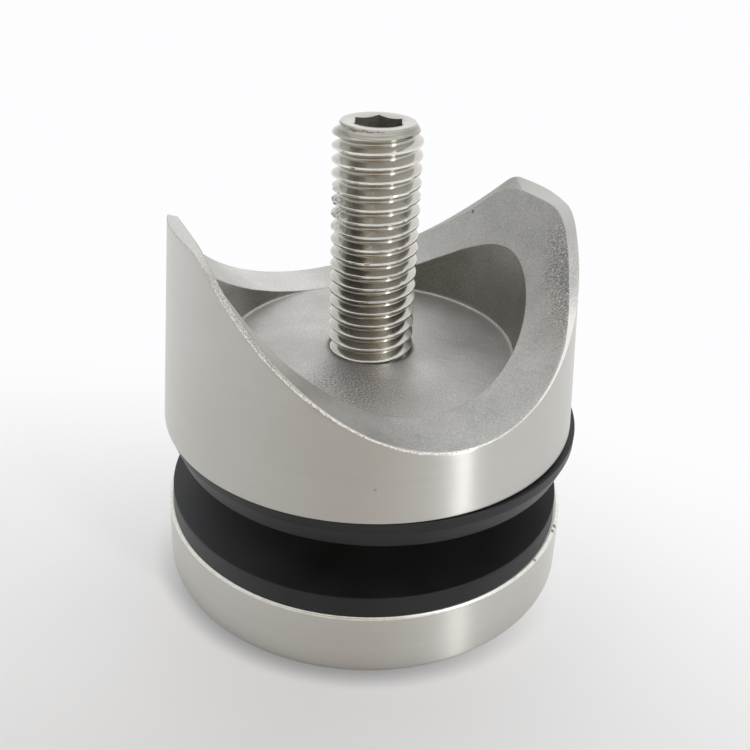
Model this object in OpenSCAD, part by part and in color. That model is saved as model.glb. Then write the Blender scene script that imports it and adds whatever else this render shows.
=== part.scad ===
// Point fixing for a glass panel, with a saddle back for a round post.
// It stands on the face of its cap, +Z runs up the stud, and the post lies along Y.
// The glass is held in the slot between the two black gaskets.

/* [Cap] */
// Diameter of the cap on its glass side
cap_d = 50; // [46:0.5:56]
// How much the cap's wall leans out towards its front edge
cap_flare = 0.25; // [0:0.05:0.5]
// Thickness of the cap's disc
cap_h = 7.7; // [6:0.1:10]
// Rounding of the cap's front edge
cap_round = 0.5; // [0.3:0.1:1.5]
// Chamfer on the cap's glass side
cap_chamfer = 0.25; // [0.15:0.05:0.6]
// Solid thickness left under the tapped hole
cap_skin = 3; // [2:0.25:5]
// Diameter of the tapped boss on the cap
boss_d = 16; // [14:0.5:18]
// Height of the boss above the disc
boss_h = 11.3; // [9:0.1:12]

/* [Glass slot] */
// Clear gap between the gaskets when the fixing is screwed shut
glass_gap = 6.3; // [5:0.1:7]
// Outer diameter of the plastic sleeve in the glass hole
sleeve_d = 20.6; // [19.6:0.1:24]

/* [Gaskets] */
// Thickness of the gasket on the cap
front_gasket_h = 2.45; // [2:0.05:4]
// Thickness of the gasket under the body
rear_gasket_h = 3.5; // [2.5:0.1:5]
// Diameter of the front gasket where it lies on the cap
front_gasket_d = 48.6; // [44:0.1:49]
// Diameter of the rear gasket where it lies on the body
rear_gasket_d = 49.5; // [44:0.1:49.6]
// Hole through both gaskets, loose round the boss
gasket_bore_d = 17.8; // [17.6:0.1:19]

/* [Body] */
// Diameter of the body at its foot
body_d = 49.3; // [46:0.1:54]
// Height of the body up to its horn tips
body_h = 24.65; // [20:0.05:28]
// Casting draft of the body and of its pocket, in degrees
draft = 5; // [0:0.5:7]
// Diameter of the pocket at its floor
pocket_d = 34.2; // [28:0.2:38]
// Rounding where the pocket's wall meets its floor
pocket_fillet = 0.8; // [0.4:0.1:1.5]
// Thickness of the web that carries the stud
web_h = 7.6; // [6:0.1:7.7]

/* [Saddle] */
// Diameter of the round post that the saddle fits
post_d = 42.4; // [40:0.1:44]
// Height of the post's axis above the body's foot
post_axis_h = 28.85; // [28:0.05:31]
// Slope of the blunt facet on each horn, in degrees
horn_slope = 23; // [15:1:40]

/* [Stud] */
// Outside diameter of the M10 thread, as its free end is drawn
stud_d = 9.85; // [9.6:0.05:9.95]
// Pitch diameter of the thread, as the stretch that is screwed in is drawn
pitch_d = 9.05; // [8.9:0.05:9.2]
// Length of the stud
stud_l = 50; // [45:1:55]
// Height of the stud's top above the body's foot
stud_reach = 34.05; // [30:0.05:38]
// Pitch of the thread
thread_pitch = 1.5; // [1, 1.25, 1.5]
// Chamfer at both ends of the stud
stud_chamfer = 0.65; // [0.4:0.05:1]
// Hexagon socket, across its flats
socket_af = 5; // [4:0.5:6]
// Depth of the hexagon socket
socket_depth = 4.5; // [3:0.5:6]
// Turn of the socket about the stud, in degrees
socket_turn = 6; // [0:1:60]

/* [Hidden] */
$fn = 96;
eps = 0.01;

// The rings hang a little off the axis, as far as their loose holes let them.
front_gasket_shift = [-0.33, -0.5];
rear_gasket_shift = [0.6, -0.05];

lift = 0.05;                 // hairline between cap and gasket, so that the cap can turn
screw_play = 0.05;           // radial play of the cap's tapped hole on the stud
seat_play = 0.02;            // radial play of the stud in the body, where it is locked
free_end_gap = 0.15;         // from the floor of the pocket to the stud's free end
sleeve_play = 0.3;           // radial play of the sleeve round the boss
sleeve_end_play = 0.1;       // gap between the sleeve and the front gasket

front_gasket_z = cap_h + lift;
slot_z = front_gasket_z + front_gasket_h;
rear_gasket_z = slot_z + glass_gap;
body_z = rear_gasket_z + rear_gasket_h;
stud_top_z = body_z + stud_reach;
stud_z = stud_top_z - stud_l;

crest_h = thread_pitch / 6;            // flat crest of the thread
thread_depth = 0.57 * thread_pitch;
flank_h = thread_depth * tan(30);

body_r = body_d / 2;
post_r = post_d / 2;
horn_r = body_r - body_h * tan(draft);
big = 2 * cap_d;

module ring(outer_d, inner_d, h) {
    difference() {
        cylinder(d = outer_d, h = h);
        translate([0, 0, -eps]) cylinder(d = inner_d, h = h + 2 * eps);
    }
}

// Round disc with a broken front edge, a fine chamfer behind and a blind tapped boss.
module front_cap() {
    r = cap_d / 2;
    foot_r = r + cap_flare;
    color([0.78, 0.77, 0.75]) difference() {
        union() {
            rotate_extrude() union() {
                translate([foot_r - cap_round, cap_round]) circle(r = cap_round, $fn = 48);
                polygon([
                    [0, 0], [foot_r - cap_round, 0], [foot_r, cap_round],
                    [r, cap_h - cap_chamfer], [r - cap_chamfer, cap_h], [0, cap_h]
                ]);
            }
            translate([0, 0, cap_h / 2]) cylinder(d = boss_d, h = cap_h / 2 + boss_h);
        }
        translate([0, 0, cap_skin]) cylinder(r = pitch_d / 2 + screw_play, h = cap_h + boss_h);
    }
}

// Flat ring whose wall leans in a little towards the glass.
module front_gasket() {
    lean = 0.15;
    color([0.05, 0.05, 0.055])
    translate([front_gasket_shift[0], front_gasket_shift[1], front_gasket_z]) difference() {
        cylinder(d1 = front_gasket_d, d2 = front_gasket_d - 2 * lean, h = front_gasket_h);
        translate([0, 0, -eps]) cylinder(d = gasket_bore_d, h = front_gasket_h + 2 * eps);
    }
}

// Bush that keeps the metal off the edge of the hole in the glass.
module glass_sleeve() {
    color([0.9, 0.9, 0.87]) translate([0, 0, slot_z + sleeve_end_play])
        ring(sleeve_d, boss_d + 2 * sleeve_play, glass_gap - sleeve_end_play);
}

// Ring with a straight rim on the body's side and a bevel towards the glass.
module rear_gasket() {
    rim_h = 1.2;
    bevel = 0.85;
    color([0.05, 0.05, 0.055])
    translate([rear_gasket_shift[0], rear_gasket_shift[1], rear_gasket_z]) difference() {
        union() {
            cylinder(d1 = rear_gasket_d - 2 * bevel, d2 = rear_gasket_d, h = rear_gasket_h - rim_h);
            translate([0, 0, rear_gasket_h - rim_h]) cylinder(d = rear_gasket_d, h = rim_h);
        }
        translate([0, 0, -eps]) cylinder(d = gasket_bore_d, h = rear_gasket_h + 2 * eps);
    }
}

// Room that the round post takes, along Y.
module post_room() {
    translate([0, 0, post_axis_h]) rotate([90, 0, 0]) cylinder(r = post_r, h = big, center = true, $fn = 128);
}

// Round pocket with a drafted wall and a rounded foot.
module pocket_room() {
    r = pocket_d / 2;
    f = pocket_fillet;
    h = body_h;
    translate([0, 0, web_h]) rotate_extrude() difference() {
        polygon([[0, 0], [r, 0], [r + h * tan(draft), h], [0, h]]);
        difference() {
            translate([r - f, -eps]) square([2 * f, f + eps]);
            translate([r - f, f]) circle(r = f, $fn = 48);
        }
    }
}

// Everything above the blunt facets of the two horns.
module horn_trim() {
    for (side = [0, 1]) mirror([side, 0, 0])
        translate([horn_r, 0, body_h]) rotate([0, -horn_slope, 0])
            translate([-body_r / 4, -body_r, 0]) cube([body_r / 2, 2 * body_r, body_h]);
}

// One casting: drafted drum, saddle for the post, pocket and the tapped hole for the stud.
module saddle_body() {
    color([0.74, 0.73, 0.71]) translate([0, 0, body_z]) difference() {
        cylinder(r1 = body_r, r2 = horn_r, h = body_h);
        post_room();
        pocket_room();
        horn_trim();
        translate([0, 0, -eps]) cylinder(r = pitch_d / 2 + seat_play, h = body_h);
    }
}

// Section of one thread groove below a crest whose upper edge is at height top, listed upwards.
function thread_groove(r, top) = [
    [r, top - thread_pitch], [r - thread_depth, top - thread_pitch + flank_h],
    [r - thread_depth, top - crest_h - flank_h], [r, top - crest_h]
];

// Headless screw with chamfered ends and a hexagon socket in its upper end.
// The free end has its crests and grooves as rings one pitch apart, without the helix's slope.
// The stretch in the body and the cap is drawn plain, at the pitch diameter.
module threaded_stud() {
    r = stud_d / 2;
    grip_r = pitch_d / 2;
    c = stud_chamfer;
    crest_z = stud_l - c;
    free_z = body_z + web_h + free_end_gap - stud_z;
    grooves = floor((crest_z - free_z - crest_h / 3) / thread_pitch);
    thread = [for (k = [grooves - 1 : -1 : 0]) each thread_groove(r, crest_z - k * thread_pitch)];
    color([0.8, 0.79, 0.76]) difference() {
        translate([0, 0, stud_z]) rotate_extrude() polygon(concat(
            [[0, 0], [grip_r - c / 2, 0], [grip_r, c / 2], [grip_r, free_z], [r, free_z]],
            thread,
            [[r, crest_z], [r - c, stud_l], [0, stud_l]]
        ));
        translate([0, 0, stud_top_z - socket_depth]) rotate([0, 0, socket_turn])
            cylinder(d = socket_af / cos(30), h = socket_depth + eps, $fn = 6);
    }
}

front_cap();
front_gasket();
glass_sleeve();
rear_gasket();
saddle_body();
threaded_stud();
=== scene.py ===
import math

import bmesh
import bpy
import numpy as np
from mathutils import Matrix, Vector, noise


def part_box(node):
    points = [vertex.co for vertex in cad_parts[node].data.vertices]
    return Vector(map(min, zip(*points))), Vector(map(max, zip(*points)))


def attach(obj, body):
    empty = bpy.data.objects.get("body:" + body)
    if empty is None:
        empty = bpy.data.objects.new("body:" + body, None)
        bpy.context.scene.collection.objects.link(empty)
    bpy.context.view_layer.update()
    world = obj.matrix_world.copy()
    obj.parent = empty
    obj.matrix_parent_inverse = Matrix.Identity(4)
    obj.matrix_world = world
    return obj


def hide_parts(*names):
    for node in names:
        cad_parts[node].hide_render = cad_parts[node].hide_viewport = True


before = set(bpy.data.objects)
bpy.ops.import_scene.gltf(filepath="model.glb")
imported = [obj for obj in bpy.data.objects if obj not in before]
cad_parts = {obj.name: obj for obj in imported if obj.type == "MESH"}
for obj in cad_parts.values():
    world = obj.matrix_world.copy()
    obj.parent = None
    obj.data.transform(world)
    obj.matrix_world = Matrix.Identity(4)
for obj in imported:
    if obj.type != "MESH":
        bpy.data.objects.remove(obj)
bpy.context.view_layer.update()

# ---------------------------------------------------------------------------
# Front cap: the round cover on the outside of the glass.
# Turned from stainless bar, satin brushed round and round, with a small bright round on
# its glass side and a tapped boss that passes through the glass and takes the stud.
# ---------------------------------------------------------------------------
MM = 0.001
# how fast the wobble of a turned wall changes round it, and from one ring of points to the next
WAVES, WAVE_DRIFT = 3, 0.9


def placed(name, data):
    """Puts new data into the scene as an object."""
    thing = bpy.data.objects.new(name, data)
    bpy.context.collection.objects.link(thing)
    return thing


def turned_mesh(name, outline, centre=(0, 0), steps=240, wobble=0.0):
    """Turns a closed outline of (radius, height) points in mm into a solid ring or disc.

    The wobble is the most that a hand-finished wall may fall short of its radius, in mm.
    """
    points, faces, rows = [], [], []
    for k, (radius, height) in enumerate(outline):
        if radius < 1e-6:
            rows.append([len(points)])
            points.append((centre[0] * MM, centre[1] * MM, height * MM))
            continue
        row = []
        for i in range(steps):
            turn = 2 * math.pi * i / steps
            r = radius
            if wobble:
                seat = Vector((WAVES * math.cos(turn), WAVES * math.sin(turn), WAVE_DRIFT * k))
                r += 0.5 * wobble * (noise.noise(seat) - 1)
            row.append(len(points))
            points.append(((centre[0] + r * math.cos(turn)) * MM,
                           (centre[1] + r * math.sin(turn)) * MM, height * MM))
        rows.append(row)
    for row, above in zip(rows, rows[1:] + rows[:1]):
        if len(row) == 1 and len(above) == 1:
            continue
        for i in range(steps):
            j = (i + 1) % steps
            if len(row) == 1:
                faces.append((row[0], above[j], above[i]))
            elif len(above) == 1:
                faces.append((row[i], row[j], above[0]))
            else:
                faces.append((row[i], row[j], above[j], above[i]))
    mesh = bpy.data.meshes.new(name)
    mesh.from_pydata(points, [], faces)
    mesh.shade_smooth()
    mesh.validate()
    return placed(name, mesh)


def rounded(outline, corners, steps=4):
    """Rounds the named corners of an outline: corners is {index: radius in mm}."""
    made = []
    for k, (x, y) in enumerate(outline):
        size = corners.get(k, 0)
        if not size:
            made.append((x, y))
            continue
        here = np.array((x, y), float)
        before = np.array(outline[k - 1], float) - here
        after = np.array(outline[(k + 1) % len(outline)], float) - here
        before /= np.linalg.norm(before)
        after /= np.linalg.norm(after)
        half = math.acos(max(-1, min(1, float(before @ after)))) / 2
        reach = size / math.tan(half)
        start, end = here + before * reach, here + after * reach
        for i in range(steps + 1):
            t = i / steps
            made.append(tuple((1 - t) ** 2 * start + 2 * t * (1 - t) * here + t * t * end))
    return made


def with_supports(outline, gap=0.25):
    """Adds a point near both ends of every long straight run, to keep the shading flat on it."""
    made = []
    for a, b in zip(outline, outline[1:] + outline[:1]):
        a, b = np.array(a, float), np.array(b, float)
        made.append(tuple(a))
        length = np.linalg.norm(b - a)
        if length > 3 * gap:
            made.append(tuple(a + (b - a) * gap / length))
            made.append(tuple(b - (b - a) * gap / length))
    return made


class Finish:
    """The material of a piece, with short ways to add its nodes and to join them.

    All sizes are in mm. Seat is the place on the piece that the light strikes, in metres.
    """

    def __init__(self, name):
        self.material = bpy.data.materials.new(name)
        self.material.use_nodes = True
        self.tree = self.material.node_tree
        self.tree.nodes.clear()
        self.surface = self.add("ShaderNodeOutputMaterial").inputs["Surface"]
        skin = self.add("ShaderNodeBsdfPrincipled")
        self.skin = skin.inputs
        self.plain = skin.outputs["BSDF"]
        self.join(self.plain, self.surface)
        self.seat = self.add("ShaderNodeTexCoord").outputs["Object"]

    def add(self, kind, **settings):
        node = self.tree.nodes.new(kind)
        for key, value in settings.items():
            setattr(node, key, value)
        return node

    def join(self, source, target):
        self.tree.links.new(source, target)

    def feed(self, socket, value):
        """Gives a socket a number, a colour, or what another node makes."""
        if isinstance(value, tuple):
            socket.default_value = (*value, 1)
        elif isinstance(value, (int, float)):
            socket.default_value = value
        elif value is not None:
            self.join(value, socket)

    def wear(self, **looks):
        """Sets the skin's inputs, such as Base_Color or Roughness."""
        for name, value in looks.items():
            self.feed(self.skin[name.replace("_", " ")], value)

    def math(self, operation, first, second=None, third=None):
        """One step of arithmetic, on numbers or on what other nodes make."""
        node = self.add("ShaderNodeMath", operation=operation)
        for socket, value in zip(node.inputs, (first, second, third)):
            self.feed(socket, value)
        return node.outputs[0]

    def shares(self, *parts, base=0.0):
        """A base and several values on top of it, each times its share."""
        total = base
        for value, share in parts:
            total = self.math("MULTIPLY_ADD", value, share, total)
        return total

    def place(self):
        """The three parts of the seat."""
        split = self.add("ShaderNodeSeparateXYZ")
        self.join(self.seat, split.inputs[0])
        return split.outputs

    def from_axis(self, x, y):
        """Distance of a place from the upright axis."""
        squares = [self.math("MULTIPLY", part, part) for part in (x, y)]
        return self.math("SQRT", self.math("ADD", *squares))

    def fade(self, value, start, end, low=0.0, high=1.0, kind="LINEAR"):
        """Goes from low to high while a value goes from start to end, and stays there beyond."""
        node = self.add("ShaderNodeMapRange", interpolation_type=kind)
        limits = {"From Min": start, "From Max": end, "To Min": low, "To Max": high}
        for name, limit in limits.items():
            node.inputs[name].default_value = limit
        self.join(value, node.inputs["Value"])
        return node.outputs["Result"]

    def mix(self, kind, share, under, over):
        """Puts a colour over another one, as far as the share says."""
        node = self.add("ShaderNodeMix", data_type="RGBA", blend_type=kind)
        for name, value in (("Factor", share), ("A", under), ("B", over)):
            self.feed(node.inputs[name], value)
        return node.outputs["Result"]

    def ramp(self, factor, stops):
        """Gives each of a few levels of a value its colour, and blends between them."""
        node = self.add("ShaderNodeValToRGB")
        marks = node.color_ramp.elements
        while len(marks) < len(stops):
            marks.new(0.5)
        for mark, (level, colour) in zip(marks, stops):
            mark.position = level
            mark.color = (*colour, 1)
        self.join(factor, node.inputs["Fac"])
        return node.outputs["Color"]

    def noise(self, size_mm, detail=3.0, rough=0.5, place=None):
        """Smooth noise with spots of about this size, or of three sizes, one along each axis."""
        mapping = self.add("ShaderNodeMapping")
        sizes = size_mm if isinstance(size_mm, tuple) else (size_mm,) * 3
        mapping.inputs["Scale"].default_value = [1 / (s * MM) for s in sizes]
        self.join(place or self.seat, mapping.inputs["Vector"])
        node = self.add("ShaderNodeTexNoise")
        node.inputs["Scale"].default_value = 1.0
        node.inputs["Detail"].default_value = detail
        node.inputs["Roughness"].default_value = rough
        self.join(mapping.outputs["Vector"], node.inputs["Vector"])
        return node.outputs["Fac"]

    def spot(self, middle, size_mm, soft_mm):
        """1 inside a small round spot at a place in mm, falling to 0 outside it."""
        reach = self.add("ShaderNodeVectorMath", operation="DISTANCE")
        self.join(self.seat, reach.inputs[0])
        reach.inputs[1].default_value = [v * MM for v in middle]
        return self.fade(reach.outputs["Value"], (size_mm + soft_mm) * MM, size_mm * MM)

    def pitted(self, colour, pits):
        """Darkens a colour in small round pits. Each is its middle, its size and its soft edge."""
        for pit in pits:
            colour = self.mix("MULTIPLY", self.spot(*pit), colour, (0.3, 0.29, 0.27))
        return colour

    def bump(self, height, strength, depth_mm):
        """Lets the light see a fine relief that is too small for the mesh."""
        bump = self.add("ShaderNodeBump")
        bump.inputs["Strength"].default_value = strength
        bump.inputs["Distance"].default_value = depth_mm * MM
        self.join(height, bump.inputs["Height"])
        self.join(bump.outputs["Normal"], self.skin["Normal"])


def brushed_steel(name, light, dark, pits=()):
    """Satin steel with fine brush lines that run round the axis, and a few small dark pits."""
    f = Finish(name)
    x, y, z = f.place()
    # the third part of the brush's place grows along the axis and along the radius alike
    brushed = f.add("ShaderNodeCombineXYZ")
    for socket, part in zip(brushed.inputs, (x, y, f.math("ADD", f.from_axis(x, y), z))):
        f.join(part, socket)
    lines = f.noise((9, 9, 0.07), 4, 0.6, place=brushed.outputs[0])
    bands = f.noise((30, 30, 0.9), 2, place=brushed.outputs[0])
    cloud = f.noise(14, 2, 0.4)
    level = f.shares((lines, 0.45), (bands, 0.15), (cloud, 0.4))
    colour = f.pitted(f.ramp(level, [(0.3, dark), (0.7, light)]), pits)
    f.wear(Base_Color=colour, Metallic=1.0, Roughness=f.fade(lines, 0.3, 0.7, 0.31, 0.39))
    f.wear(Anisotropic=0.95, Anisotropic_Rotation=0.25)
    brush = f.add("ShaderNodeTangent", direction_type="RADIAL", axis="Z")
    f.join(brush.outputs["Tangent"], f.skin["Tangent"])
    f.bump(lines, 0.06, 0.02)
    return f.material


def bright_edge(name, pits):
    """The small burnished round between the brushed wall and the glass side of the cap."""
    f = Finish(name)
    wear = f.noise(0.7, 3, 0.6)
    colour = f.ramp(wear, [(0.35, (0.80, 0.80, 0.75)), (0.6, (0.93, 0.93, 0.87))])
    f.wear(Base_Color=f.pitted(colour, pits), Metallic=1.0, Roughness=0.28)
    return f.material


cap_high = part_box("front_cap")[1]
CAP_FOOT_R = cap_high.x / MM
CAP_TOP_R = 25.0
CAP_DISC = 7.7
CAP_EDGE = 0.36
BOSS_R = 8.0
BOSS_TOP = cap_high.z / MM
BORE_R = 5.05
BORE_FLOOR = 3.0
DRILL_TIP = 1.0
CAP_NICKS = [((18, -17, 7.6), 0.25, 0.15), ((17.3, -17.7, 7.6), 0.2, 0.15),
             ((12.4, -21.5, 7.6), 0.12, 0.12)]

cap_outline = [
    (0, 0), (CAP_FOOT_R, 0), (CAP_TOP_R, CAP_DISC), (BOSS_R, CAP_DISC), (BOSS_R, BOSS_TOP),
    (BORE_R, BOSS_TOP), (BORE_R, BORE_FLOOR + DRILL_TIP), (0, BORE_FLOOR),
]
cap_outline = rounded(cap_outline, {1: 0.45, 2: CAP_EDGE, 3: 0.3, 4: 0.4, 5: 0.4}, 8)
cap = turned_mesh("cap_cover", with_supports(cap_outline), wobble=0.012)
cap.data.materials.append(brushed_steel("cap_satin_steel", (0.69, 0.68, 0.64), (0.61, 0.60, 0.56)))
cap.data.materials.append(bright_edge("cap_bright_edge", CAP_NICKS))
for face in cap.data.polygons:
    middle = face.center / MM
    radius = math.hypot(middle.x, middle.y)
    if middle.z > CAP_DISC - CAP_EDGE and CAP_TOP_R - CAP_EDGE < radius < CAP_TOP_R + 0.01:
        face.material_index = 1
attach(cap, "cap")
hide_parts("front_cap")

# ---------------------------------------------------------------------------
# Front gasket: the flat ring between the cap and the front of the glass.
# Cut from black rubber sheet, so its edges are soft and its wall leans in a little.
# It lies loose round the boss, a touch off centre, and rests on the cap.
# ---------------------------------------------------------------------------


def black_rubber(name, dullness):
    """Black rubber: dull, with very fine grain, faint clouds, and a paler bluish patch on its left
    side, partly dust and partly a painted sheen.
    """
    f = Finish(name)
    cloud = f.noise(6)
    black = f.ramp(cloud, [(0.35, (0.006, 0.006, 0.0065)), (0.7, (0.012, 0.012, 0.013))])
    # a paler bluish patch on the left: partly dust, partly a painted sheen
    dust_and_sheen = f.spot((-25, 2, 15), 6, 17)
    f.wear(Base_Color=f.mix("MIX", dust_and_sheen, black, (0.052, 0.055, 0.060)),
           Roughness=f.fade(cloud, 0, 1, dullness, dullness + 0.16), Specular_IOR_Level=0.38)
    f.bump(f.noise(0.12, 3, 0.6), 0.12, 0.02)
    return f.material


def ring_size(low, high):
    """Centre, outer radius, and lower and upper height of a ring, in mm, from its box."""
    centre = ((low.x + high.x) / 2 / MM, (low.y + high.y) / 2 / MM)
    return centre, (high.x - low.x) / 2 / MM, low.z / MM, high.z / MM


front_centre, front_r, front_z0, front_z1 = ring_size(*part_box("front_gasket"))
GASKET_BORE_R = 8.9
FRONT_LEAN = 0.15
front_outline = [(GASKET_BORE_R, front_z0), (front_r, front_z0),
                 (front_r - FRONT_LEAN, front_z1), (GASKET_BORE_R, front_z1)]
front_outline = with_supports(rounded(front_outline, {0: 0.15, 1: 0.12, 2: 0.14, 3: 0.15}, 5))
front_gasket = turned_mesh("front_gasket_ring", front_outline, front_centre, wobble=0.02)
front_gasket.data.materials.append(black_rubber("front_rubber", 0.42))
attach(front_gasket, "front_ring")
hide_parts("front_gasket")

# ---------------------------------------------------------------------------
# Glass sleeve: the bush that keeps the metal boss off the edge of the hole in the glass.
# Moulded from natural white plastic, with softened ends. It sits loose round the boss.
# ---------------------------------------------------------------------------
sleeve_low, sleeve_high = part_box("glass_sleeve")
sleeve_r, sleeve_z0, sleeve_z1 = sleeve_high.x / MM, sleeve_low.z / MM, sleeve_high.z / MM
SLEEVE_BORE_R = 8.3
sleeve_outline = [(SLEEVE_BORE_R, sleeve_z0), (sleeve_r, sleeve_z0),
                  (sleeve_r, sleeve_z1), (SLEEVE_BORE_R, sleeve_z1)]
sleeve_outline = with_supports(rounded(sleeve_outline, {0: 0.2, 1: 0.35, 2: 0.35, 3: 0.2}, 5))
sleeve = turned_mesh("glass_sleeve_bush", sleeve_outline, steps=160)


def natural_plastic(name):
    """Milky moulded plastic with faint flow marks."""
    f = Finish(name)
    milky = f.ramp(f.noise(3), [(0.3, (0.70, 0.70, 0.66)), (0.7, (0.80, 0.80, 0.76))])
    f.wear(Base_Color=milky, Roughness=0.5)
    f.bump(f.noise(0.3), 0.15, 0.02)
    return f.material


sleeve.data.materials.append(natural_plastic("sleeve_plastic"))
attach(sleeve, "standoff")
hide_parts("glass_sleeve")

# ---------------------------------------------------------------------------
# Rear gasket: the thicker black ring between the glass and the body.
# Moulded rubber with a straight rim on the body's side and a bevel towards the glass.
# It hangs a little off the axis, so it stands proud of the body on one side.
# ---------------------------------------------------------------------------
rear_centre, rear_r, rear_z0, rear_z1 = ring_size(*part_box("rear_gasket"))
REAR_RIM = 1.2
REAR_BEVEL = 0.85
HELD_R = 12.0
SAG, SAG_SIDE = 0.3, math.radians(-35)
rear_outline = [
    (GASKET_BORE_R, rear_z0), (HELD_R, rear_z0), (rear_r - REAR_BEVEL, rear_z0),
    (rear_r, rear_z1 - REAR_RIM), (rear_r, rear_z1), (HELD_R, rear_z1), (GASKET_BORE_R, rear_z1),
]
rear_outline = with_supports(rounded(rear_outline, {0: 0.2, 2: 0.15, 3: 0.25, 4: 0.12, 6: 0.2}, 6))
rear_gasket = turned_mesh("rear_gasket_ring", rear_outline, rear_centre, wobble=0.02)
# outside of what the body holds, its right side sags a little
for point in rear_gasket.data.vertices:
    x, y = point.co.x / MM - rear_centre[0], point.co.y / MM - rear_centre[1]
    out = max(math.hypot(x, y) - HELD_R, 0) / (rear_r - HELD_R)
    side = max(math.cos(math.atan2(y, x) - SAG_SIDE), 0)
    point.co.z -= SAG * out * side ** 2 * MM
rear_gasket.data.materials.append(black_rubber("rear_rubber", 0.36))
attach(rear_gasket, "standoff")
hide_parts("rear_gasket")

# ---------------------------------------------------------------------------
# Saddle body: the stainless casting that carries the stud and sits on the round post.
# Its drafted outside is belt ground and satin brushed, and its edges are broken by hand.
# The saddle and the round pocket keep the grey, grainy skin of a blasted casting; on the pocket's
# wall it is darker by painted shade.
# ---------------------------------------------------------------------------
body_low, body_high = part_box("saddle_body")
FOOT_Z, TIP_Z = body_low.z / MM, body_high.z / MM
FOOT_R = body_high.x / MM
DRAFT = math.tan(math.radians(5))
POST_R, POST_Z = 21.2, FOOT_Z + 28.85
GRIND_R, GRIND_Z = 22.25, FOOT_Z + 30  # the round that the rim is ground along
LEAST_LAND = 0.14                      # and how far below a sharp edge it stays at least
CREASE_X = 20.6                        # where the blunt facet of a horn begins
FLOOR_Z = FOOT_Z + 7.6
POCKET_R = 17.1
POCKET_FILLET = 0.5
HOLE_R = 4.95
BODY_STEPS = 720


def degrees_off(degrees, side):
    """How far an angle lies from a side, from -180 to 180 degrees."""
    return (degrees - side + 180) % 360 - 180


turn = np.linspace(0, 2 * math.pi, BODY_STEPS, endpoint=False)
compass = degrees_off(np.degrees(turn), 0)
from_horn = np.degrees(np.arccos(np.abs(np.cos(turn))))
right, front = np.cos(turn) > 0, np.sin(turn) < 0


def all_round(value):
    """The same value at every angle."""
    return np.full_like(turn, value)


def drum_radius(z):
    """Radius of the drafted outside wall at a height."""
    return FOOT_R - DRAFT * (z - FOOT_Z)


def trough_height(x, radius, axis_z):
    """Height of a round trough along the post, at a distance x from its middle."""
    return axis_z - np.sqrt(np.maximum(radius ** 2 - x ** 2, 0.0))


def where_drum_meets(radius, axis_z):
    """Height at which the outside wall meets a round trough, for each angle."""
    r = all_round(FOOT_R)
    for _ in range(60):  # each round about halves the error
        z = np.minimum(trough_height(r * np.cos(turn), radius, axis_z), TIP_Z + 6)
        r = 0.5 * r + 0.5 * drum_radius(z)
    return z


def soft_low(a, b, blend):
    """The lower of two values, with a soft turn between them."""
    gap = np.clip(0.5 + 0.5 * (b - a) / blend, 0, 1)
    return b * (1 - gap) + a * gap - blend * gap * (1 - gap)


def span(a, b, count):
    """Evenly spaced steps between two (radius, height) pairs of arrays."""
    return [(a[0] + (b[0] - a[0]) * t, a[1] + (b[1] - a[1]) * t) for t in np.linspace(0, 1, count)]


def bend(a, corner, b, count):
    """A small rounded turn from a to b round a corner."""
    made = []
    for t in np.linspace(0, 1, count):
        made.append(tuple((1 - t) ** 2 * p + 2 * t * (1 - t) * q + t * t * s
                          for p, q, s in zip(a, corner, b)))
    return made


def toward(a, b, distance):
    """The point at a distance from a on the way to b, never past the middle."""
    length = np.hypot(b[0] - a[0], b[1] - a[1]) + 1e-9
    t = np.minimum(distance / length, 0.45)
    return a[0] + (b[0] - a[0]) * t, a[1] + (b[1] - a[1]) * t


# the ground rim, where the outside wall ends, with a crown of its own on each horn
right_crown = TIP_Z - 0.03 - np.where(front, 0.020 * from_horn, 0)
left_crown = TIP_Z - 0.10 - 0.2 * (from_horn / 14) ** 2 - np.where(front, 0, 0.1)
crown = np.where(right, right_crown, left_crown)
rim_z = soft_low(where_drum_meets(GRIND_R, GRIND_Z), crown, np.where(right & ~front, 1.0, 1.6))
rim_z = soft_low(rim_z, where_drum_meets(POST_R, POST_Z) - LEAST_LAND, 0.25)
# nicks in it: their side and width in degrees, and their depth in mm
rim_nicks = [(-101.5, 1.6, 0.10), (-97.0, 0.9, 0.07), (-105.5, 0.8, 0.06), (-152.0, 1.5, 0.06),
             (-147.0, 1.0, 0.05), (-141.0, 1.2, 0.05), (-33.0, 1.0, 0.05), (62.0, 1.5, 0.10),
             (131.0, 1.1, 0.08)]
for side, width, depth in rim_nicks:
    rim_z = rim_z - depth * np.exp(-(degrees_off(np.degrees(turn), side) / width) ** 2)
rim_r = drum_radius(rim_z)

# the broken edge: a wide land on the horns that thins out towards the low sides
land_w = np.interp(from_horn, [0, 34, 42, 50, 58, 68, 90], [1.1, 1.15, 0.9, 0.5, 0.24, 0.10, 0.07])
back_left = np.interp(from_horn, [0, 6, 20], [1.0, 0.8, 0.45])
land_w = land_w * np.where(front | right, 1.0, back_left)
# its width wavers a little away from the tips
ripple = np.array([noise.noise(Vector((9 * math.cos(a), 9 * math.sin(a), 4))) for a in turn])
land_w = land_w * (1 + 0.12 * ripple * np.clip((from_horn - 30) / 20, 0, 1))
# on the horns it ends at the crease of their blunt facets, which runs a little askew
crease_x = CREASE_X - 0.012 * rim_r * np.sin(turn)
crease_r = crease_x / np.cos(np.radians(np.minimum(from_horn, 60)))
land_r = soft_low(crease_r, rim_r - land_w, 0.7)
land_z = trough_height(land_r * np.cos(turn), POST_R, POST_Z)

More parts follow.
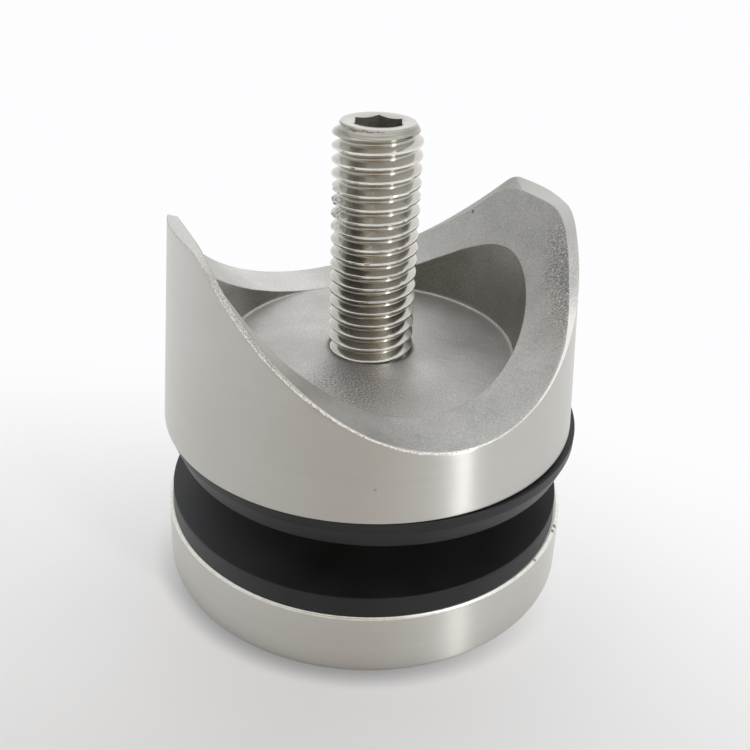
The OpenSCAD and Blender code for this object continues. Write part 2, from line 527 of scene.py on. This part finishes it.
# the edge of the pocket on the saddle, and the fillet round its floor
lip_r = all_round(POCKET_R)
for _ in range(40):
    lip_z = trough_height(lip_r * np.cos(turn), POST_R, POST_Z)
    lip_r = 0.5 * lip_r + 0.5 * (POCKET_R + DRAFT * (lip_z - FLOOR_Z))
lip_z = np.maximum(lip_z, FLOOR_Z + 0.06)
fillet = np.minimum(POCKET_FILLET, 0.45 * (lip_z - FLOOR_Z))
wall_foot = (POCKET_R + DRAFT * fillet, FLOOR_Z + fillet)
floor_edge = (POCKET_R - fillet, all_round(FLOOR_Z))

# the broken edge of the foot, wider on the right
foot_round = np.interp(compass, [-180, -90, -55, -24, 40, 100, 180],
                       [0.28, 0.30, 0.55, 0.75, 0.75, 0.40, 0.28])
foot_edge = (FOOT_R - foot_round, all_round(FOOT_Z))
wall_low = (drum_radius(FOOT_Z + foot_round), FOOT_Z + foot_round)


def saddle_point(t):
    """The saddle's bed, from the broken edge at 0 to the edge of the pocket at 1."""
    r = land_r + (lip_r - land_r) * t
    return r, trough_height(r * np.cos(turn), POST_R, POST_Z)


# points close to each edge, so that it turns in a small round
rim, land, lip = (rim_r, rim_z), (land_r, land_z), (lip_r, lip_z)
edge_round = np.interp(from_horn, [0, 50, 65, 90], [0.20, 0.18, 0.11, 0.08])
near_rim = toward(rim, wall_low, edge_round)
rim_on_land = toward(rim, land, 0.8 * edge_round)
land_near = toward(land, rim, 0.15)
saddle_run = [saddle_point(t) for t in np.linspace(0, 1, 24)]
land_after = toward(land, saddle_run[1], 0.10)
lip_before = toward(lip, saddle_run[-2], 0.12)
lip_after = toward(lip, wall_foot, 0.10)

# one kind of skin for each of the body's materials, in their order
WALL, EDGE, CAST, POCKET, BED = range(5)
rows, kinds = [], []


def lay(run, kind):
    """Adds rings of points, each of which ends a band of faces of one kind."""
    rows.extend(run)
    kinds.extend([kind] * len(run))


# from the hole in the foot outwards, up the wall, over the rim and down into the pocket
lay(span((all_round(HOLE_R), all_round(FOOT_Z)), foot_edge, 5), WALL)
lay(bend(foot_edge, (all_round(FOOT_R), all_round(FOOT_Z)), wall_low, 7)[1:], WALL)
lay(span(toward(wall_low, near_rim, 0.15), near_rim, 26), WALL)
lay(bend(near_rim, rim, rim_on_land, 7)[1:], EDGE)
rim_row = len(rows) - 2
lay(span(rim_on_land, land_near, 7)[1:], EDGE)
lay(bend(land_near, land, land_after, 4)[1:], CAST)
lay(saddle_run[1:-1], CAST)
lay(bend(lip_before, lip, lip_after, 5), CAST)
lay(span(lip_after, wall_foot, 10)[1:], POCKET)
floor_turn = bend(wall_foot, (all_round(POCKET_R), all_round(FLOOR_Z)), floor_edge, 8)
lay(floor_turn[1:4], POCKET)
lay(floor_turn[4:], BED)
hole_mouth = (all_round(HOLE_R + 0.12), all_round(FLOOR_Z))
lay(span(floor_edge, hole_mouth, 22)[1:], BED)
lay([(all_round(HOLE_R + 0.01), all_round(FLOOR_Z - 0.12)),
     (all_round(HOLE_R), all_round(FLOOR_Z - 0.9))], BED)
radii = np.array([row[0] for row in rows])
heights = np.array([row[1] for row in rows])


def body_point(k, i):
    """The place in mm of point i on ring k of the body."""
    r = radii[k, i]
    return Vector((r * math.cos(turn[i]), r * math.sin(turn[i]), heights[k, i]))


# the cast skin is uneven by a few hundredths of a millimetre
cast_rows = [k for k, kind in enumerate(kinds) if kind in (CAST, POCKET, BED)][3:-3]
for k in cast_rows:
    for i in range(BODY_STEPS):
        place = body_point(k, i)
        heights[k, i] += 0.022 * noise.noise(place * 1.4) + 0.030 * noise.noise(place * 0.35)
# the broken edge is crumbly, and smoother towards the tips of the horns
for k in [k for k, kind in enumerate(kinds) if kind == EDGE]:
    for i in range(BODY_STEPS):
        place = body_point(k, i)
        worn = min(max((from_horn[i] - 16) / 8, 0.15), 1.0)
        heights[k, i] -= 0.045 * worn * abs(noise.noise(place * 3.1))
        radii[k, i] -= 0.030 * worn * abs(noise.noise(place * 4.3))

points = np.stack([radii * np.cos(turn), radii * np.sin(turn), heights], axis=2).reshape(-1, 3) * MM
faces, face_kinds = [], []
for k in range(len(rows)):
    above = (k + 1) % len(rows)
    for i in range(BODY_STEPS):
        j = (i + 1) % BODY_STEPS
        faces.append((k * BODY_STEPS + i, k * BODY_STEPS + j,
                      above * BODY_STEPS + j, above * BODY_STEPS + i))
        kind = kinds[above]
        # at the back of the right horn, only a spot close to the tip is ground bright
        beyond = (from_horn[i] / 16) ** 2 + (k - rim_row) / 8 > 1
        if kind == EDGE and right[i] and not front[i] and k > rim_row and beyond:
            kind = CAST
        # where the pocket's wall runs out, it takes the floor's skin rather than the wall's painted
        # shade
        if kind == POCKET and lip_z[i] - FLOOR_Z < 0.5:
            kind = BED
        face_kinds.append(kind)
body_mesh = bpy.data.meshes.new("saddle_body_casting")
body_mesh.from_pydata(points.tolist(), [], faces)
body_mesh.polygons.foreach_set("material_index", face_kinds)
body_mesh.shade_smooth()
body_mesh.update()
body = placed("saddle_body_casting", body_mesh)


def blasted_casting(name, dark, grey, light, rough=0.5, patches=(), pits=(), bright=(), high=0.0):
    """Grey stainless casting skin: satin with fine grain, coarser and darker in a few patches.

    A patch or a pit is its middle, its size and its soft edge in mm. A bright spot is painted light
    and has its lift as well; a lift below 0 paints shade. The upper part of the skin is darker by
    high.
    """
    f = Finish(name)
    grain, coarse, cloud = f.noise(0.15, 3, 0.65), f.noise(0.23, 2), f.noise(5)
    patch = 0.0
    for spot in patches:
        patch = f.math("MAXIMUM", patch, f.spot(*spot))
    speck = f.shares((grain, 0.45), (coarse, 0.55), base=-0.5)
    relief = f.math("MULTIPLY", speck, f.math("MULTIPLY_ADD", patch, 1.15, 0.48))
    drift = f.math("SUBTRACT", cloud, 0.5)
    climb = f.fade(f.place()[2], 32 * MM, 39 * MM)
    # spots of painted light; a lift below 0 paints shade
    lifts = [(f.spot(*spot), lift) for *spot, lift in bright]
    level = f.shares((relief, 1.0), (patch, -0.055), (drift, 0.16), (climb, -high),
                     *lifts, base=0.5)
    colour = f.ramp(level, [(0.30, dark), (0.5, grey), (0.68, light)])
    f.wear(Base_Color=f.pitted(colour, pits), Metallic=1.0, Roughness=rough)
    f.bump(relief, 0.7, 0.08)
    return f.material


def ground_edge(name):
    """Bright hand-ground steel: smooth on the horn tips, crumbly further down on the left."""
    f = Finish(name)
    x, _, z = f.place()
    down = f.fade(z, (TIP_Z - 2.4) * MM, (TIP_Z - 4.0) * MM, low=0.12)
    left = f.fade(x, 3 * MM, -5 * MM, low=0.15)
    worn = f.math("MULTIPLY", down, left)
    relief = f.math("MULTIPLY", f.math("SUBTRACT", f.noise(0.20, 3, 0.65), 0.5), worn)
    polished = f.spot((14.5, -19, 32), 5, 4.5)
    level = f.shares((relief, 1.0), (worn, 0.06), (polished, 0.07), base=0.5)
    colour = f.ramp(level, [
        (0.36, (0.42, 0.41, 0.38)), (0.5, (0.55, 0.545, 0.52)), (0.57, (0.90, 0.89, 0.84))])
    f.wear(Base_Color=colour, Metallic=1.0, Roughness=0.36)
    f.bump(relief, 0.9, 0.12)
    return f.material


body_finishes = [
    brushed_steel("body_satin_steel", (0.635, 0.625, 0.59), (0.565, 0.555, 0.52),
                  pits=[((-8.85, -22.45, 24.1), 0.10, 0.15)]),
    ground_edge("body_ground_edge"),
    blasted_casting(
        "body_blasted_saddle", (0.26, 0.257, 0.245), (0.51, 0.505, 0.485), (0.74, 0.73, 0.71),
        rough=0.46,
        patches=[((19.6, -7.5, 41), 0.8, 2.4), ((19.2, -9.8, 39.9), 1.4, 2.4),
                 ((18.5, -12, 38.5), 1.6, 2.4), ((17.6, -14.2, 37), 1.4, 2.4),
                 ((16.6, -16.2, 35.7), 0.8, 2.4), ((-6.6, -10.5, 28.6), 1.5, 3.0)],
        pits=[((18.6, 10.6, 38.7), 0.16, 0.14)],
        # spots of painted light
        bright=[((-6, 21, 28.8), 5, 6, 0.12), ((-13.5, -15, 34), 4, 5, 0.16),
                ((13, -14, 31), 2, 6, 0.03)],
        high=0.045),
    # the pocket's wall: a darker copy of the blasted skin, which is painted shade, with spots of
    # painted light
    blasted_casting(
        "body_cast_pocket_wall_painted_shade", (0.155, 0.145, 0.13), (0.285, 0.27, 0.245), (0.46, 0.445, 0.415),
        bright=[((-15, 9, 28.5), 2, 6, 0.12), ((0, 17.2, 28), 4, 6, 0.2),
                ((0, -17.2, 28), 4, 6, 0.2)]),
    blasted_casting(
        "body_blasted_pocket_floor", (0.28, 0.275, 0.265), (0.54, 0.53, 0.51), (0.82, 0.81, 0.79),
        patches=[((-6.6, -8.5, 27.6), 2.5, 4.5)],
        # spots of painted light, and one of painted shade where the lift is below 0
        bright=[((9, -3, 27.6), 2, 5, -0.07), ((-4, 8, 27.6), 2, 5, 0.03),
                ((1.5, -8.5, 27.6), 1.5, 3, 0.05), ((-0.8, -6, 27.6), 0.8, 2, 0.09)]),
]
for finish in body_finishes:
    body.data.materials.append(finish)
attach(body, "standoff")
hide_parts("saddle_body")

# ---------------------------------------------------------------------------
# Threaded stud: an M10 x 1.5 socket set screw, 50 mm long, locked in the body.
# Rolled bright thread with flat crests, chamfered ends and a hexagon socket on top.
# Its crests carry a few nicks from handling.
# ---------------------------------------------------------------------------
stud_low, stud_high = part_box("threaded_stud")
STUD_Z0, STUD_Z1 = stud_low.z / MM, stud_high.z / MM
PITCH = 1.5
CREST_R, ROOT_R = 4.925, 4.0
END_R = 4.0             # the flat of an end, inside its chamfer
END_SLOPE = 0.75
TURN_ZERO = math.radians(-113.85)
CREST_Z = 51.85         # upper edge of the crest where the helix starts a turn
SOCKET_FLAT = 2.5       # from the axis to a side of the hexagon
SOCKET_DEPTH = 4.5
SOCKET_TURN = math.radians(6)
SINK_R = 3.0
SINK_SLOPE = 0.45
STUD_STEPS = 150
# one pitch of the thread's section: the drop from the upper edge of its crest, and the radius
thread_outline = [
    (0.0, 4.895), (0.03, 4.925), (0.19, 4.925), (0.22, 4.895), (0.245, 4.852), (0.445, 4.51),
    (0.645, 4.168), (0.67, 4.125), (0.75, 4.06), (0.86, 4.04), (0.97, 4.06), (1.05, 4.125),
    (1.075, 4.168), (1.275, 4.51), (1.475, 4.852),
]
# nicks in the crests: side in degrees, height and depth in mm, width in degrees, height in mm
stud_nicks = [
    (166, 45.6, 0.30, 7, 0.3), (175, 44.1, 0.30, 6, 0.25), (160, 46.9, 0.25, 8, 0.3),
    (187, 45.2, 0.25, 4, 0.25), (170, 42.7, 0.25, 5, 0.25), (-172, 47.4, 0.16, 6, 0.3),
    (-60, 38.4, 0.15, 5, 0.3), (-30, 45.2, 0.18, 6, 0.3), (60, 41.3, 0.2, 8, 0.3),
    (100, 36.2, 0.16, 6, 0.3), (-120, 33.1, 0.12, 5, 0.3), (30, 49.5, 0.18, 6, 0.3),
]
BRUISE_SIDE, BRUISE_WIDE = 176, 32
BRUISE_Z, BRUISE_TALL = 44.9, 2.6
BRUISE_DEPTH = 0.5


def stud_noise(r, angle, z, grain):
    """Noise at a place on the stud, with about as many spots to a millimetre as grain says."""
    x, y = r * math.cos(angle), r * math.sin(angle)
    return noise.noise(Vector((x * grain, y * grain, z * grain)))


def stud_radius(r, angle, z):
    """Trims the thread to the stud's chamfered ends, and puts its nicks and its bruise in."""
    for side, height, depth, wide, tall in stud_nicks:
        off = degrees_off(math.degrees(angle), side)
        if abs(off) < 3 * wide and abs(z - height) < 3 * tall:
            dent = depth * math.exp(-(off / wide) ** 2 - ((z - height) / tall) ** 2)
            r -= dent * (r - ROOT_R) / (CREST_R - ROOT_R)
    across = degrees_off(math.degrees(angle), BRUISE_SIDE) / BRUISE_WIDE
    bruise = max(0, 1 - across ** 2) * max(0, 1 - ((z - BRUISE_Z) / BRUISE_TALL) ** 2)
    if bruise > 0:
        dent = max(stud_noise(r, angle, z, 3.4), 0)
        r -= BRUISE_DEPTH * bruise * dent * (r - 3.8)
    # the crests are a little ragged
    if r > 4.6:
        r -= 0.05 * max(stud_noise(r, angle, z, 2.6) - 0.05, 0)
    from_end = max(min(STUD_Z1 - z, z - STUD_Z0), 0)
    # the last groove runs out, so that both end faces keep a full edge
    full_r = END_R + min(from_end, 0.2) - 1.3 * max(from_end - 0.2, 0)
    return min(max(r, full_r), END_R + END_SLOPE * from_end)


def stud_angle(i):
    """Angle of a step round the stud, which starts at a corner of the hexagon."""
    return SOCKET_TURN + 2 * math.pi * i / STUD_STEPS


def helix_rise(i):
    """How much of a pitch the helix has climbed at a step, from 0 to 1."""
    return ((stud_angle(i) - TURN_ZERO) / (2 * math.pi)) % 1.0


points, faces = [], []
samples = len(thread_outline)
turns_down = int((CREST_Z - STUD_Z0) / PITCH) + 3
turns_up = int((STUD_Z1 - CREST_Z) / PITCH) + 3
level_count = (turns_down + turns_up) * samples
for level in range(level_count):
    whole, part = divmod(level, samples)
    drop, r = thread_outline[samples - 1 - part]
    for i in range(STUD_STEPS):
        angle = stud_angle(i)
        z = CREST_Z + PITCH * (whole - turns_down + helix_rise(i)) - drop
        z = min(max(z, STUD_Z0), STUD_Z1)
        trimmed = stud_radius(r, angle, z)
        points.append((trimmed * math.cos(angle) * MM, trimmed * math.sin(angle) * MM, z * MM))

# where the helix closes a turn, the faces reach one pitch on
jump = next(i for i in range(STUD_STEPS) if helix_rise(i + 1) < helix_rise(i))
for level in range(level_count - 1):
    for i in range(STUD_STEPS):
        j = (i + 1) % STUD_STEPS
        shift = samples if i == jump else 0
        if level + 1 + shift >= level_count:
            continue
        here, beside = level * STUD_STEPS, (level + shift) * STUD_STEPS
        faces.append((here + i, beside + j, beside + STUD_STEPS + j, here + STUD_STEPS + i))


def add_ring(radius, z):
    """Adds a ring of points. The radius and the height may be rules for each angle."""
    start = len(points)
    for i in range(STUD_STEPS):
        angle = stud_angle(i)
        r = radius(angle) if callable(radius) else radius
        height = z(angle) if callable(z) else z
        points.append((r * math.cos(angle) * MM, r * math.sin(angle) * MM, height * MM))
    return start


def bridge(a, b, upward):
    """Joins two rings with faces."""
    for i in range(STUD_STEPS):
        j = (i + 1) % STUD_STEPS
        face = (a + i, a + j, b + j, b + i)
        faces.append(face if upward else face[::-1])


def close_ring(ring, z, upward):
    """Closes a ring with a fan of faces about one point on the axis."""
    tip = len(points)
    points.append((0, 0, z * MM))
    for i in range(STUD_STEPS):
        j = (i + 1) % STUD_STEPS
        faces.append((ring + i, ring + j, tip) if upward else (ring + j, ring + i, tip))


def socket_side(angle):
    """Distance from the axis to the side of the hexagon."""
    part = (angle - SOCKET_TURN) % (math.pi / 3) - math.pi / 6
    return SOCKET_FLAT / math.cos(part)


def sink_height(angle):
    """Height at which the countersink meets the hexagon."""
    return STUD_Z1 - SINK_SLOPE * (SINK_R - socket_side(angle))


# the upper end: its flat, the countersink, the hexagon and the drill tip below it
rings = [
    add_ring(END_R, STUD_Z1), add_ring(END_R - 0.10, STUD_Z1), add_ring(SINK_R, STUD_Z1),
    add_ring(socket_side, sink_height), add_ring(socket_side, STUD_Z1 - 0.9),
    add_ring(socket_side, STUD_Z1 - SOCKET_DEPTH), add_ring(1.9, STUD_Z1 - SOCKET_DEPTH),
    add_ring(0.5, STUD_Z1 - SOCKET_DEPTH - 0.75),
]
for a, b in zip(rings, rings[1:]):
    bridge(a, b, True)
close_ring(rings[-1], STUD_Z1 - SOCKET_DEPTH - 0.95, True)
# the lower end, hidden in the cap, is plain
end_rings = [add_ring(END_R, STUD_Z0), add_ring(2.0, STUD_Z0)]
bridge(*end_rings, False)
close_ring(end_rings[1], STUD_Z0, False)

stud_mesh = bpy.data.meshes.new("threaded_stud_screw")
stud_mesh.from_pydata(points, [], faces)
shaping = bmesh.new()
shaping.from_mesh(stud_mesh)
bmesh.ops.remove_doubles(shaping, verts=shaping.verts, dist=0.002 * MM)
bmesh.ops.dissolve_degenerate(shaping, dist=0.001 * MM, edges=shaping.edges)
loose = [v for v in shaping.verts if not v.link_faces]
bmesh.ops.delete(shaping, geom=loose, context="VERTS")
bmesh.ops.recalc_face_normals(shaping, faces=shaping.faces)
for edge in shaping.edges:
    if len(edge.link_faces) == 2 and edge.calc_face_angle(0) > math.radians(38):
        edge.smooth = False
shaping.to_mesh(stud_mesh)
shaping.free()
for face in stud_mesh.polygons:
    face.use_smooth = True
stud = placed("threaded_stud_screw", stud_mesh)


def rolled_steel(name):
    """Bright rolled thread: lighter crests and painted shade in the grooves, a crazed bruise, lathe
    marks on the upper chamfer.
    """
    f = Finish(name)
    x, y, z = f.place()
    radius = f.from_axis(x, y)
    smear = f.noise((1.2, 1.2, 0.25), 3, 0.6)
    # painted shade: darker towards the roots of the grooves, lighter on the crests
    crest = f.fade(radius, 4.05 * MM, 4.93 * MM)
    level = f.shares((f.math("SUBTRACT", smear, 0.5), 0.35), base=crest)
    # the flat of the upper end is even
    inner = f.math("LESS_THAN", radius, END_R * MM)
    even = f.fade(z, (STUD_Z1 - 0.45) * MM, (STUD_Z1 - 0.30) * MM, 0.2, 0.3)
    level = f.math("MAXIMUM", level, f.math("MULTIPLY", inner, even))
    colour = f.ramp(level, [
        (0.0, (0.50, 0.485, 0.44)), (0.35, (0.58, 0.565, 0.515)),
        (0.8, (0.58, 0.565, 0.515)), (1.0, (0.77, 0.755, 0.71))])
    bruised = f.spot((-4.7, 0.9, BRUISE_Z), 1.4, 1.2)
    cracks = f.fade(f.noise(0.45, 3, 0.7), 0.53, 0.60)
    colour = f.mix("MULTIPLY", f.math("MULTIPLY", bruised, cracks), colour, (0.25, 0.24, 0.22))
    marks = f.fade(f.noise((6, 6, 0.16), 2), 0.4, 0.6, low=0.35)
    upper = f.fade(z, (STUD_Z1 - 1.1) * MM, (STUD_Z1 - 0.9) * MM)
    chamfer = f.math("MULTIPLY", upper, f.math("GREATER_THAN", radius, (END_R + 0.1) * MM))
    colour = f.mix("MULTIPLY", f.math("MULTIPLY", chamfer, marks), colour, (0.62, 0.61, 0.57))
    f.wear(Base_Color=colour, Metallic=1.0, Roughness=0.18)
    f.bump(smear, 0.12, 0.03)
    return f.material


def shaded_socket(name):
    """Unpolished, dull steel inside the hexagon, made dark by painted shade."""
    f = Finish(name)
    mottle = f.noise(0.6, 3, 0.6)
    colour = f.ramp(mottle, [(0.35, (0.10, 0.098, 0.088)), (0.65, (0.155, 0.15, 0.135))])
    f.wear(Base_Color=colour, Roughness=0.55, Specular_IOR_Level=0.35)
    return f.material


stud.data.materials.append(rolled_steel("rolled_thread_steel"))
stud.data.materials.append(shaded_socket("hexagon_socket_painted_shade"))
# the inside of the hexagon gets the dark skin of painted shade
for face in stud.data.polygons:
    in_socket = math.hypot(face.center.x, face.center.y) < (SINK_R - 0.05) * MM
    if in_socket and STUD_Z1 - SOCKET_DEPTH - 1 < face.center.z / MM < STUD_Z1 - 0.35:
        face.material_index = 1
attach(stud, "standoff")
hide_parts("threaded_stud")

# ---------------------------------------------------------------------------
# Table: a plain pale sheet that runs out to the horizon, a little greyer close to the part by
# painted shade, with a painted pool of light on its left and a painted shadow round the front of
# the cap's foot.
# It stays under the cap when the cap is screwed out, so it follows the front ring's travel.
# ---------------------------------------------------------------------------
TABLE_R = 4.0
TABLE_CORNERS = 96
TABLE_Z = -0.01 * MM
SHADOW_SIDE = math.radians(50)  # to the left of the front, where the painted shadow is darkest
SHADOW_WIDTH = 2.9

corners = [(TABLE_R * math.cos(a), TABLE_R * math.sin(a), TABLE_Z)
           for a in np.linspace(0, 2 * math.pi, TABLE_CORNERS, endpoint=False)]
table_mesh = bpy.data.meshes.new("table")
table_mesh.from_pydata(corners, [], [tuple(range(TABLE_CORNERS))])
table = placed("table", table_mesh)


def pale_sheet(name):
    """Matt pale sheet that fades into the white of the room, with painted shade near the part, a
    painted pool of light on the left and a painted shadow where the cap stands.
    """
    f = Finish(name)
    x, y, _ = f.place()
    radius = f.from_axis(x, y)
    # paler at the back and far out, with painted shade nearer the part in front, and a painted pool
    # of light on the left
    away = f.shares((x, 0.717), (y, 0.894), (radius, 0.315))
    behind = f.fade(away, -48 * MM, 64 * MM, kind="SMOOTHSTEP")
    distant = f.fade(radius, 100 * MM, 200 * MM, kind="SMOOTHSTEP")
    pale = f.math("MAXIMUM", behind, distant)
    painted_light_pool = f.spot((-38, -1, 0), 10, 22)
    paper = f.ramp(f.shares((painted_light_pool, 0.55), base=pale), [
        (0.0, (0.80, 0.797, 0.795)), (1.0, (0.93, 0.93, 0.93))])
    # a narrow sickle of painted shadow round the front of the cap's foot
    foot = f.fade(radius, (CAP_FOOT_R + SHADOW_WIDTH) * MM, CAP_FOOT_R * MM, kind="SMOOTHSTEP")
    forward = f.shares((x, -math.cos(SHADOW_SIDE)), (y, -math.sin(SHADOW_SIDE)))
    sickle = f.fade(f.math("DIVIDE", forward, radius), 0.1, 1.0, kind="SMOOTHSTEP")
    shadowed = f.mix("MULTIPLY", f.math("MULTIPLY", foot, sickle), paper, (0.40, 0.40, 0.41))
    f.wear(Base_Color=shadowed, Roughness=0.6, Specular_IOR_Level=0.2)
    # seen directly, in a mirror or through glass, the pale part is as white as the room
    white = f.add("ShaderNodeEmission")
    white.inputs["Color"].default_value = (0.98, 0.982, 0.994, 1)
    rays = f.add("ShaderNodeLightPath").outputs
    mirrored = f.math("MAXIMUM", rays["Is Glossy Ray"], rays["Is Transmission Ray"])
    seen = f.math("MAXIMUM", rays["Is Camera Ray"], mirrored)
    blend = f.add("ShaderNodeMixShader")
    f.join(f.math("MULTIPLY", seen, pale), blend.inputs["Fac"])
    f.join(f.plain, blend.inputs[1])
    f.join(white.outputs["Emission"], blend.inputs[2])
    f.join(blend.outputs["Shader"], f.surface)
    return f.material


table.data.materials.append(pale_sheet("pale_table"))
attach(table, "front_ring")

# ---------------------------------------------------------------------------
# Light: an even white room, and a low round screen about the table that is warm and dim on
# the near side and bright at the back, with one narrow upright lamp at the front right.
# ---------------------------------------------------------------------------
world = bpy.data.worlds.new("studio")
bpy.context.scene.world = world
world.use_nodes = True
room = world.node_tree.nodes["Background"]
room.inputs["Color"].default_value = (0.965, 0.97, 0.985, 1)
room.inputs["Strength"].default_value = 1.02

SCREEN_R, SCREEN_FOOT, SCREEN_TOP = 0.5, 0.002, 0.5
SCREEN_STEPS = 128
LAMP = 8.0
# how bright the screen is at each side in degrees, how warm at some, and where the lamp is on
levels = [(-180, 0.66), (-160, 0.50), (-140, 0.31), (-122, 0.20), (-106, 0.30), (-94, 0.56),
          (-78, 0.75), (-50, 0.90), (-25, 0.78), (5, 0.80), (30, 1.00), (60, 1.08), (90, 0.90),
          (115, 0.69), (150, 0.64), (180, 0.66)]
warm = {-160: 0.10, -140: 0.22, -122: 0.50, -106: 0.36, -94: 0.15}
lamp_edges = [(-71.5, 0), (-65.5, 1), (-62.6, 1), (-61.8, 0)]

points, faces = [], []
for i in range(SCREEN_STEPS):
    angle = 2 * math.pi * i / SCREEN_STEPS
    points += [(SCREEN_R * math.cos(angle), SCREEN_R * math.sin(angle), z)
               for z in (SCREEN_FOOT, SCREEN_TOP)]
    j = (i + 1) % SCREEN_STEPS
    faces.append((2 * i, 2 * j, 2 * j + 1, 2 * i + 1))
screen_mesh = bpy.data.meshes.new("light_screen")
screen_mesh.from_pydata(points, [], faces)
screen = placed("light_screen", screen_mesh)
screen.visible_camera = False


def screen_glow(name):
    """Glowing cloth whose brightness and warmth change round the screen, with the lamp on it."""
    f = Finish(name)
    x, y, _ = f.place()
    share = f.math("MULTIPLY_ADD", f.math("ARCTAN2", y, x), 1 / (2 * math.pi), 0.5)
    cloth_stops = []
    for side, level in levels:
        tint = (1 + warm.get(side, 0), 1.0, 1 - warm.get(side, 0))
        cloth_stops.append(((side + 180) / 360, tuple(level / LAMP * t for t in tint)))
    cloth = f.ramp(share, cloth_stops)
    lamp = f.ramp(share, [((180 + side) / 360, (on,) * 3) for side, on in lamp_edges])
    glow = f.add("ShaderNodeEmission")
    glow.inputs["Strength"].default_value = LAMP
    f.join(f.mix("ADD", 1.0, cloth, lamp), glow.inputs["Color"])
    f.join(glow.outputs["Emission"], f.surface)
    return f.material


screen.data.materials.append(screen_glow("screen_glow"))

# ---------------------------------------------------------------------------
# Camera: close above the front left, looking at a point near the middle of the part. It is
# held by hand, so it leans a little to one side.
# ---------------------------------------------------------------------------
CAMERA_EYE = Vector((-38.27, -86.57, 76.7)) * MM
CAMERA_AIM = Vector((0.62, -0.33, 23.37)) * MM
CAMERA_LEAN = math.radians(2.32)

camera_data = bpy.data.cameras.new("camera")
camera_data.sensor_width = 36
camera_data.lens = 42.71
camera_data.clip_start = 0.005
camera_data.clip_end = 20
camera = placed("camera", camera_data)
look = (CAMERA_AIM - CAMERA_EYE).to_track_quat("-Z", "Y").to_matrix()
leaning = (look @ Matrix.Rotation(CAMERA_LEAN, 3, "Z")).to_4x4()
camera.matrix_world = Matrix.Translation(CAMERA_EYE) @ leaning
bpy.context.scene.camera = camera
bpy.context.scene.view_settings.view_transform = "Standard"
